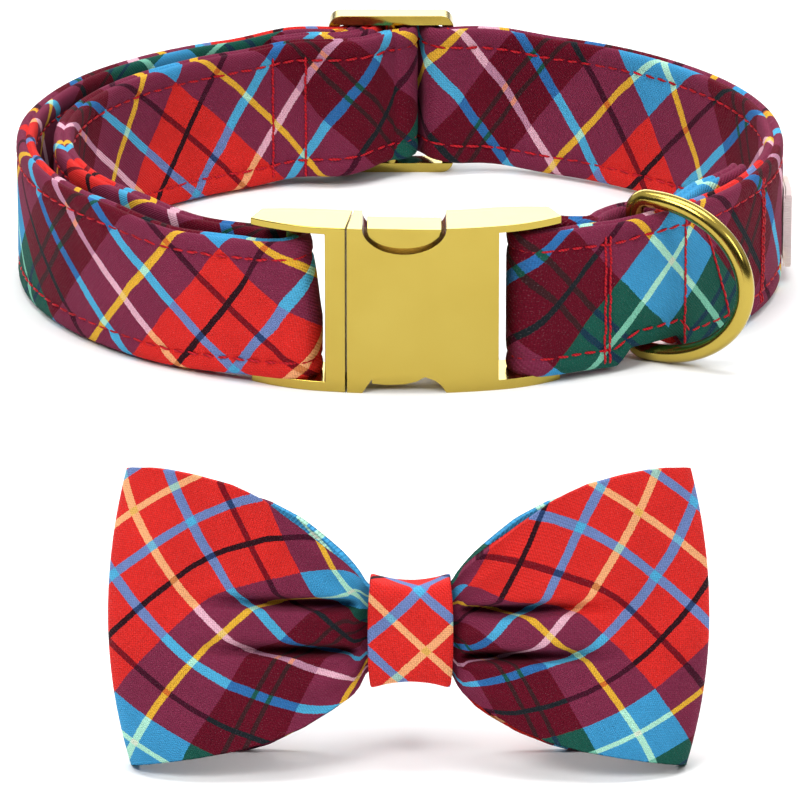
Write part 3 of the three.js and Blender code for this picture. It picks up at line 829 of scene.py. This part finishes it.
def combine(name, solids, cuts=(), keeps=(), ease=0.45):
    """Joins solids, cuts others away, keeps what lies in others, rounds the edges."""
    made = []
    steps = [(s, "UNION") for s in solids]
    steps += [(s, "DIFFERENCE") for s in cuts] + [(s, "INTERSECT") for s in keeps]
    for i, ((verts, faces), _) in enumerate(steps):
        made.append(add_piece(f"{name}_{i}", verts, faces, gold, smooth=False))
    whole = made[0]
    for other, (_, operation) in zip(made[1:], steps[1:]):
        step = whole.modifiers.new("step", "BOOLEAN")
        step.operation = operation
        step.solver = "EXACT"
        step.object = other
    mesh = bpy.data.meshes.new_from_object(
        whole.evaluated_get(bpy.context.evaluated_depsgraph_get())
    )
    mesh.name = name
    for piece in made:
        bpy.data.objects.remove(piece)
    bm = bmesh.new()
    bm.from_mesh(mesh)
    bmesh.ops.remove_doubles(bm, verts=bm.verts, dist=0.004 * MM)
    bmesh.ops.dissolve_limit(
        bm, angle_limit=math.radians(0.25), verts=bm.verts, edges=bm.edges
    )
    sharp = [e for e in bm.edges if len(e.link_faces) == 2
             and e.calc_face_angle(0.0) > math.radians(30)]
    bmesh.ops.bevel(bm, geom=sharp, offset=ease * MM, segments=3, profile=0.5,
                    affect="EDGES", clamp_overlap=True)
    bmesh.ops.recalc_face_normals(bm, faces=bm.faces)
    bm.to_mesh(mesh)
    bm.free()
    mesh.materials.clear()
    mesh.materials.append(gold)
    piece = bpy.data.objects.new(name, mesh)
    bpy.context.scene.collection.objects.link(piece)
    mesh.polygons.foreach_set("use_smooth", [True] * len(mesh.polygons))
    mesh.set_sharp_from_angle(angle=math.radians(32))
    even = piece.modifiers.new("even", "WEIGHTED_NORMAL")
    even.keep_sharp = True
    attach(piece, "collar")
    return piece


METAL_TOP, RAIL_TOP = 28.35, 27.15
# Where each half starts to thin, where its rails end, and how much they thin.
MALE_BODY, MALE_WINDOW, MALE_END = -12.4, -12.2, -24.9
FEMALE_BODY, FEMALE_END = 16.4, 27.0
TAPER = (2.6, 1.7)
male = combine(
    "buckle_male_half",
    [
        curved_plate(SEAM_X - 0.15, MALE_END, BUCKLE_N0, BUCKLE_N1, 0, METAL_TOP, 18,
                     body=MALE_BODY, taper=TAPER),
    ],
    [upright_box(MALE_END - 3.1, MALE_WINDOW, RAIL, RAIL_TOP)],
)
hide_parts("buckle_male")
combine("buckle_male_bar", [post(male_bar, BAR_R, 0.8, METAL_TOP - 0.6)], ease=0.2)
NOTCH_HALF, NOTCH_DEEP = 6.9, 4.5
top_notch = [(-NOTCH_HALF * math.cos(a), METAL_TOP + 0.2 - NOTCH_DEEP * math.sin(a))
             for a in np.linspace(0, math.pi, 32)]
top_notch += [(NOTCH_HALF, METAL_TOP + 3), (-NOTCH_HALF, METAL_TOP + 3)]
low_notch = [
    (-NOTCH_HALF, -3), (NOTCH_HALF, -3), (NOTCH_HALF, 0), (6.1, 1.3), (5.0, 2.2),
    (3.6, 2.75), (1.8, 3.0), (-3.0, 3.0), (-5.2, 2.6), (-NOTCH_HALF, 0),
]
female = combine(
    "buckle_female_half",
    [
        curved_plate(SEAM_X + 0.15, FEMALE_END, BUCKLE_N0, BUCKLE_N1, 0, METAL_TOP, 40,
                     body=FEMALE_BODY, taper=TAPER),
    ],
    [
        upright_box(BODY_END, FEMALE_END + 3, RAIL, RAIL_TOP),
        prism(top_notch, -90, 0),
        prism(low_notch, -90, 0),
    ],
)
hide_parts("buckle_female")
combine("buckle_female_bar", [post(female_bar, BAR_R, 0.8, METAL_TOP - 0.6)], ease=0.2)
upper_tab = [(-6.1 * math.cos(a), METAL_TOP - 0.75 - 2.9 * math.sin(a))
             for a in np.linspace(0.06, math.pi - 0.06, 28)]
upper_tab += [(x, METAL_TOP - 0.3 - 0.25 * ((x + 6) / 12) ** 2) for x in np.linspace(6.0, -6.0, 14)]
lower_tab = [(-5.3, 1.25), (-3.0, 1.05), (0.0, 1.15), (2.0, 1.6), (3.6, 2.5), (3.6, 5.0), (-5.3, 5.0)]
for name, outline in (("release_tab_upper", upper_tab), ("release_tab_lower", lower_tab)):
    combine(
        name,
        [curved_plate(-7.0, 8.5, BAR_N - 2.6, BAR_N + 3.6, 0, METAL_TOP, 16)],
        keeps=[prism(outline, -90, 0)],
        ease=0.4,
    )

# ---- Slider ---------------------------------------------------------------------
# A flat three-bar slide of the same plated metal; the strap's sewn end holds its
# middle bar and the running layer passes behind its side bars.


SLIDE_HALF, SLIDE_CORNER, SLIDE_WINDOW = 11.0, 2.2, 9.0
SLIDE_Y0, SLIDE_Y1, SLIDE_SIDE_Y = 54.3, 58.5, 56.3


def slide_cut(x0, x1, y1):
    """Between the rails, through the frame from behind it to y1."""
    return upright_box(x0 + SLIDER_X, x1 + SLIDER_X, RAIL, METAL_H - RAIL, SLIDE_Y0 - 4, y1)


def slide_outline(half, corner):
    """A rounded oblong in X and Z, for prism."""
    x0 = SLIDER_X - NOTCH_X
    return [
        (x0 + sx * (half - corner) + corner * math.cos(a),
         (METAL_H - corner if sz > 0 else corner) + corner * math.sin(a))
        for sx, sz, start in ((1, 1, 0), (-1, 1, 90), (-1, -1, 180), (1, -1, 270))
        for a in np.radians(np.linspace(start, start + 90, 7))
    ]


slide = combine(
    "slider_frame",
    [prism(slide_outline(SLIDE_HALF, SLIDE_CORNER), SLIDE_Y0, SLIDE_Y1)],
    [
        slide_cut(-SLIDE_WINDOW, SLIDE_WINDOW, SLIDE_Y1 + 1.5),
        slide_cut(-SLIDE_HALF - 1, 1 - SLIDE_WINDOW, SLIDE_SIDE_Y),
        slide_cut(SLIDE_WINDOW - 1, SLIDE_HALF + 1, SLIDE_SIDE_Y),
    ],
)
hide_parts("slider")
combine("slider_bar", [post((SLIDER_X, SLIDER_Y), SLIDER_BAR_R, 0.9, METAL_H - 0.9)], ease=0.2)

# ---- D-ring ---------------------------------------------------------------------
# Round wire bent into a D, welded and plated. Its straight bar turns in the
# pocket between the strap's two layers.
RING_WIRE, RING_H, RING_REACH, RING_ANGLE, POCKET_N = 1.5, 29.6, 23.4, -28, -4.9


def d_outline():
    mid, corner, bow = RING_H / 2, 2.5, 4.0
    tall, reach = mid - RING_WIRE, RING_REACH - 2 * RING_WIRE - bow
    rows = []
    for a in np.radians(np.linspace(180, 90, 9)):
        rows.append((corner + corner * math.cos(a), mid + tall - corner + corner * math.sin(a)))
    for a in np.radians(np.linspace(88, -88, 72)):
        rows.append((bow + reach * math.cos(a), mid + tall * math.sin(a)))
    for a in np.radians(np.linspace(270, 180, 9)):
        rows.append((corner + corner * math.cos(a), mid - tall + corner + corner * math.sin(a)))
    low, high = rows[-1][1], rows[0][1]
    rows.extend((0.0, z) for z in np.linspace(low, high, 14)[1:-1])
    return np.array(rows)


def d_ring_mesh():
    bar = loop_point(RING_PHI, POCKET_N)
    a0 = math.radians(RING_ANGLE)
    out = np.array((math.cos(a0), math.sin(a0), 0))
    side = np.array((-out[1], out[0], 0))
    rows = d_outline()
    line = np.stack([bar.x + out[0] * rows[:, 0], bar.y + out[1] * rows[:, 0], rows[:, 1]], 1)
    tangent = np.roll(line, -1, 0) - np.roll(line, 1, 0)
    tangent /= np.linalg.norm(tangent, axis=1)[:, None]
    verts = []
    sides = 28
    for p, t in zip(line, tangent):
        inward = np.cross(t, side)
        for a in np.linspace(0, 2 * math.pi, sides, endpoint=False):
            verts.append(placed(*(p + RING_WIRE * (math.cos(a) * inward + math.sin(a) * side))))
    return verts, ring_faces(len(line), sides, closed=True)


ring_verts, ring_polys = d_ring_mesh()
d_ring = add_piece("leash_d_ring", ring_verts, ring_polys, gold)
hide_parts("d_ring")
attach(d_ring, "d_ring")

# ---- Tag ------------------------------------------------------------------------
# A short length of pale ribbon, folded over and sewn to the outside of the strap.
# It carries no printing.


def plain_ribbon(name, code, other, pitch):
    n = Nodes(name)
    place = n.add("ShaderNodeTexCoord").outputs["Object"]
    split = n.add("ShaderNodeSeparateXYZ")
    n.join(place, split.inputs[0])
    rib = n.math("SINE", n.math("MULTIPLY", split.outputs[2], 2 * math.pi / (pitch * MM)))
    weave = n.math("ADD", rib, n.noise(place, 2500.0, 2.0))
    tone = n.mix(n.noise(place, 300.0, 3.0), linear(code), linear(other))
    n.join(tone, n.skin.inputs["Base Color"])
    n.bump(weave, 0.5, 0.00008)
    set_in(n.skin, "Roughness", 0.8)
    set_in(n.skin, "Sheen Weight", 0.2)
    return n.material


TAG_PHI, TAG_SPAN, TAG_Z, TAG_H, TAG_STEPS = 86, 10, 2.7, 12.8, 25
# Columns: how far it stands out from the loop, share of its height.
TAG_SECTION = [
    (0.32, 0.0), (0.32, 1.0), (0.55, 1.0), (0.62, 0.92), (0.7, 1.0), (1.6, 1.0),
    (1.72, 0.97), (1.72, 0.03), (1.6, 0.0), (0.7, 0.0), (0.62, 0.08), (0.55, 0.0),
]


def tag_mesh():
    verts = []
    for i in range(TAG_STEPS):
        for n, f in TAG_SECTION:
            p = loop_point(TAG_PHI + TAG_SPAN * i / (TAG_STEPS - 1), n)
            verts.append(placed(p.x, p.y, TAG_Z + TAG_H * f + 0.15 * math.sin(i / 3)))
    return verts, ring_faces(TAG_STEPS, len(TAG_SECTION))


tag_verts, tag_faces = tag_mesh()
pale_ribbon = plain_ribbon("ribbon_pale", "f3e2de", "fdf3ef", 0.3)
tag = add_piece("blank_tag", tag_verts, tag_faces, pale_ribbon, smooth=False)
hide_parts("size_tag")
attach(tag, "collar")

# ---- Bow wings ------------------------------------------------------------------
# One strip of the cotton, lined and sewn into a ring, is pressed flat and gathered
# at its middle, so each wing is a soft loop that is open at its top and foot.
BOW_X, BOW_Y, BOW_LEAN, BOW_T, BOW_RISE = 1.3, -215.2, 12.0, 1.4, 21.65
bow_cotton = printed_cotton("bow_cotton", 6.4, 4.0)
lean = math.radians(BOW_LEAN)
BOW_AXES = (
    np.array((1, 0, 0)),
    np.array((0, math.sin(lean), math.cos(lean))),
    np.array((0, -math.cos(lean), math.sin(lean))),
)


def bow_place(x, v, n):
    """From the bow's own plane: across, up and outwards, in mm."""
    p = x * BOW_AXES[0] + v * BOW_AXES[1] + n * BOW_AXES[2]
    return placed(
        p[0] + BOW_X, p[1] + BOW_Y + BOW_RISE * math.sin(lean), p[2] + BOW_RISE * math.cos(lean)
    )


# Columns: distance from the middle, upper edge, lower edge, half the depth.
WING = np.array([
    (0.0, 3.9, -6.5, 1.75), (3.5, 4.3, -6.9, 1.75), (5.6, 4.6, -7.3, 1.75),
    (6.2, 5.2, -7.8, 2.2), (7.2, 6.7, -9.8, 2.9), (8.2, 7.8, -11.1, 3.5),
    (9.5, 9.1, -12.3, 4.1), (11.2, 10.5, -13.5, 4.7), (15.5, 13.9, -16.1, 5.7),
    (20.5, 17.0, -18.2, 6.3), (26.0, 19.1, -19.6, 6.5), (31.5, 20.5, -20.5, 6.2),
    (36.5, 21.4, -21.1, 5.4), (40.0, 21.8, -21.4, 4.3), (42.0, 21.9, -21.5, 3.0),
    (43.0, 21.9, -21.5, 1.7), (43.3, 21.9, -21.5, 0.0),
])
WING_REACH, WING_H = 43.3, 43.4
VALLEYS = {-1: (2.5, -4.5), 1: (1.6, -5.4)}  # upper and lower, from the bow's middle
# How the print lies on each wing, for both families: a cubic in the share of the
# wing's reach and the share of the cloth's width across it.
BOW_PRINT = {
    -1: (
        (126.9, -185.6, 101.8, 0.1, -19.8, -19.5, -9.6, 7.2, -2.5, 4.6),
        (284.2, -245.5, -103.1, 23.2, -2.2, -28.0, 7.2, 1.1, 14.5, 0.5),
    ),
    1: (
        (-252.1, 240.3, 103.8, -14.6, 1.8, 16.8, -9.7, -3.8, -10.0, -3.6),
        (-98.8, 193.9, -89.0, -2.3, -3.8, 30.7, 10.8, 3.4, -3.6, -11.1),
    ),
}


def wing_row(x):
    return [float(np.interp(x, WING[:, 0], WING[:, k])) for k in (1, 2, 3)]


def wing_point(side, layer, x, v):
    top, bottom, deep = wing_row(x)
    reach = x / WING_REACH
    taper = 0.065 if v > 0 else 0.075
    across_x = side * x * (1 - taper * v * v * reach * reach)
    flat = bottom + (top - bottom) * (v + 1) / 2
    # Two narrow valleys run out from the knot and fade, with a puff between them.
    hold = (1 - float(ease_in(x, 10, 34.5))) * float(ease_in(x, 6.4, 9))
    wide = 0.7 + 0.015 * max(0.0, x - 8)
    dips = min(1.0, sum(math.exp(-(((flat - at) / wide) ** 2)) for at in VALLEYS[side]))
    n = layer * deep * (1 - (0.9 if layer > 0 else 0.3) * hold * dips)
    # Small gathers fan out from the knot.
    fan = float(ease_in(x, 6.2, 7.5)) * (1 - float(ease_in(x, 9, 22)))
    n += layer * fan * 0.28 * math.sin(v * 17 + side * 1.3 + layer)
    n += layer * 0.10 * math.sin(x * 0.31 + v * 2.2 + side) * float(ease_in(x, 12, 20)) * (deep / 6)
    level = float(ease_in(x, 6.4, 10)) * (1 + (float(ease_in(x, 12, 26)) - 1) * (v + 1) / 2)
    lowest = 0.05 - BOW_RISE - math.tan(lean) * n
    return np.array((across_x, max(flat + 0.19 * n * level, lowest), n))


def wing_print(side, x, beyond, share):
    """Stripe measures at x from the middle, or that far past the outer fold."""
    r, v = x / WING_REACH, share
    out = []
    for c, cx, cv, cxx, cxv, cvv, cxxx, cxxv, cxvv, cvvv in BOW_PRINT[side]:
        value = (c + cx * r + cv * v + cxx * r * r + cxv * r * v + cvv * v * v
                 + cxxx * r**3 + cxxv * r * r * v + cxvv * r * v * v + cvvv * v**3)
        slope = cx + 2 * cxx + cxv * v + 3 * cxxx + 2 * cxxv * v + cxvv * v * v
        out.append(value + slope * beyond / WING_REACH)
    return out


def wing_stations():
    """Once round the ring of cloth: left fold, front, right fold, back."""
    edge = [43.3, 43.22, 43.0, 42.6, 42.0, 41.2, 40.2, 39.0]
    inner = list(np.linspace(37.6, 7.0, 38)) + [6.6, 6.2, 5.6, 4.4, 3.0, 1.5]
    half = edge + inner
    rows = [(x, -1, 1) for x in half] + [(0.0, 1, 1)] + [(x, 1, 1) for x in half[::-1]]
    rows += [(x, 1, -1) for x in half[1:]] + [(0.0, -1, -1)] + [(x, -1, -1) for x in half[:0:-1]]
    return rows


def wings_mesh():
    rows = wing_stations()
    m = 176
    grid = np.array([[wing_point(side, layer, x, -1 + 2 * j / m) for j in range(m + 1)]
                     for x, side, layer in rows])
    du = np.roll(grid, -1, 0) - np.roll(grid, 1, 0)
    dv = np.gradient(grid, axis=1)
    normal = np.cross(du, dv)
    normal /= np.linalg.norm(normal, axis=2)[..., None]
    # The rims are turned hems: rounded, with a fine groove between the plies.
    wall = [(0.0, 0.0), (0.02, 0.10), (0.12, 0.30), (0.30, 0.42), (0.5, 0.28),
            (0.70, 0.42), (0.88, 0.30), (0.98, 0.10), (1.0, 0.0)]
    # Share of the cloth's width at each point, following it into the valleys.
    steps = np.linalg.norm(np.diff(grid, axis=1), axis=2)
    share = np.concatenate([np.zeros((len(rows), 1)), np.cumsum(steps, 1)], 1)
    share = 2 * share / share[:, -1:] - 1
    verts, marks = [], []
    for i, (x, side, layer) in enumerate(rows):
        up = grid[i, m] - grid[i, m - 1]
        up /= np.linalg.norm(up)
        down = grid[i, 0] - grid[i, 1]
        down /= np.linalg.norm(down)
        ring = [(grid[i, j], j) for j in range(m + 1)]
        for f, rise in wall[1:-1]:
            ring.append((grid[i, m] - normal[i, m] * BOW_T * f + up * (rise - 0.42), m))
        ring += [(grid[i, j] - normal[i, j] * BOW_T, j) for j in range(m, -1, -1)]
        for f, rise in wall[-2:0:-1]:
            ring.append((grid[i, 0] - normal[i, 0] * BOW_T * f + down * (rise - 0.42), 0))
        for p, j in ring:
            spot = bow_place(*p)
            spot.z = max(spot.z, 0.05 * MM)
            verts.append(spot)
            marks.append((i, share[i, j]))
    return verts, ring_faces(len(rows), len(ring), closed=True), marks, rows


wing_verts, wing_polys, wing_marks, wing_rows = wings_mesh()
wings = add_piece("bow_wing_loops", wing_verts, wing_polys, bow_cotton)
marks = np.array(wing_marks)
corner_uv = []
for poly in wings.data.polygons:
    rows = marks[np.array(poly.vertices)]
    middle = sorted(set(int(i) for i in rows[:, 0]))
    if len(middle) == 2 and middle[1] - middle[0] > 1:
        middle = middle[1:]
    side = wing_rows[middle[0]][1]
    for i, share in rows:
        x, _, layer = wing_rows[int(i)]
        beyond = 0.0 if layer > 0 else WING_REACH - x
        corner_uv.append(wing_print(side, WING_REACH if layer < 0 else x, beyond, share))
give_print(wings, corner_uv)
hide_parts("bow_wings")
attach(wings, "collar")

# ---- Bow knot -------------------------------------------------------------------
# A folded band of the same cotton, drawn tight round the gathered middle and sewn
# behind. Its sides pull in at the top and foot.
KNOT_X, KNOT_V, KNOT_HALF, KNOT_WAIST = 6.15, -1.75, 8.05, 1.05
KNOT_FRONT, KNOT_BACK, KNOT_T = 5.2, 4.8, 1.6
KNOT_PRINT = ((9.4, 4.81, 5.25), (-26.1, 3.93, -4.37))


def band_mesh(half_x, v_mid, half, n_mid, n_half, thick, waist, power, columns, place, pull=0.0):
    verts, marks = [], []
    steps = 96
    inset = [0.0, 0.1, 0.35]
    xs = [-half_x + s for s in (0.0, 0.12, 0.45)] + list(np.linspace(-half_x + 1, half_x - 1, columns))
    xs += [half_x - s for s in (0.45, 0.12, 0.0)]
    lift = {0: -0.42, 1: -0.16, 2: -0.03}
    for i in range(steps):
        a = 2 * math.pi * i / steps
        c = math.copysign(abs(math.cos(a)) ** power, math.cos(a))
        s = math.copysign(abs(math.sin(a)) ** power, math.sin(a))
        for wall in (0, 1):
            for k in range(len(xs)):
                kk = len(xs) - 1 - k if wall else k
                x = xs[kk]
                edge = lift.get(min(kk, len(xs) - 1 - kk), 0.0)
                w = waist * (1 - (x / half_x) ** 2)
                depth = thick + edge if wall else -edge
                crease = 0.12 * math.sin(x * 1.9 + 0.6 + 2.0 * c) if not wall else 0.0
                v = v_mid + c * (half - w - depth)
                crown = 0.5 * (x / half_x) ** 2 if s > 0 and not wall else 0
                n = n_mid + s * (n_half - depth + crease * abs(s) - crown)
                verts.append(place(0.25 + x * (1 - pull * abs(c) ** 3), v, n))
                marks.append((x, v, n))
    return verts, ring_faces(steps, 2 * len(xs), closed=True), marks


knot_verts, knot_faces, knot_marks = band_mesh(
    KNOT_X, KNOT_V, KNOT_HALF, (KNOT_FRONT - KNOT_BACK) / 2, (KNOT_FRONT + KNOT_BACK) / 2,
    KNOT_T, KNOT_WAIST, 0.35, 15, bow_place, 0.065,
)
knot = add_piece("bow_knot_band", knot_verts, knot_faces, bow_cotton)
marks = np.array(knot_marks)
corner_uv = []
for poly in knot.data.polygons:
    rows = marks[np.array(poly.vertices)]
    for x, v, n in rows:
        run = v + math.copysign(max(0.0, 3.5 - n), v - KNOT_V) * 0.6
        corner_uv.append([c + a * x + b * run for c, a, b in KNOT_PRINT])
give_print(knot, corner_uv)
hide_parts("bow_knot")
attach(knot, "collar")

# ---- Bow's rear loop --------------------------------------------------------------
# Dark ribbed elastic, sewn to the back of the knot; it stretches over the collar.
loop_verts, loop_faces, _ = band_mesh(
    4.0, KNOT_V - 1.2, 6.2, -KNOT_BACK - GAP - 2.7, 2.7, 1.1, 0.0, 0.35, 9, bow_place
)
dark_ribbon = plain_ribbon("elastic_dark", "1d1719", "2c2426", 0.8)
elastic = add_piece("bow_elastic", loop_verts, loop_faces, dark_ribbon)
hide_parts("bow_rear_loop")
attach(elastic, "collar")
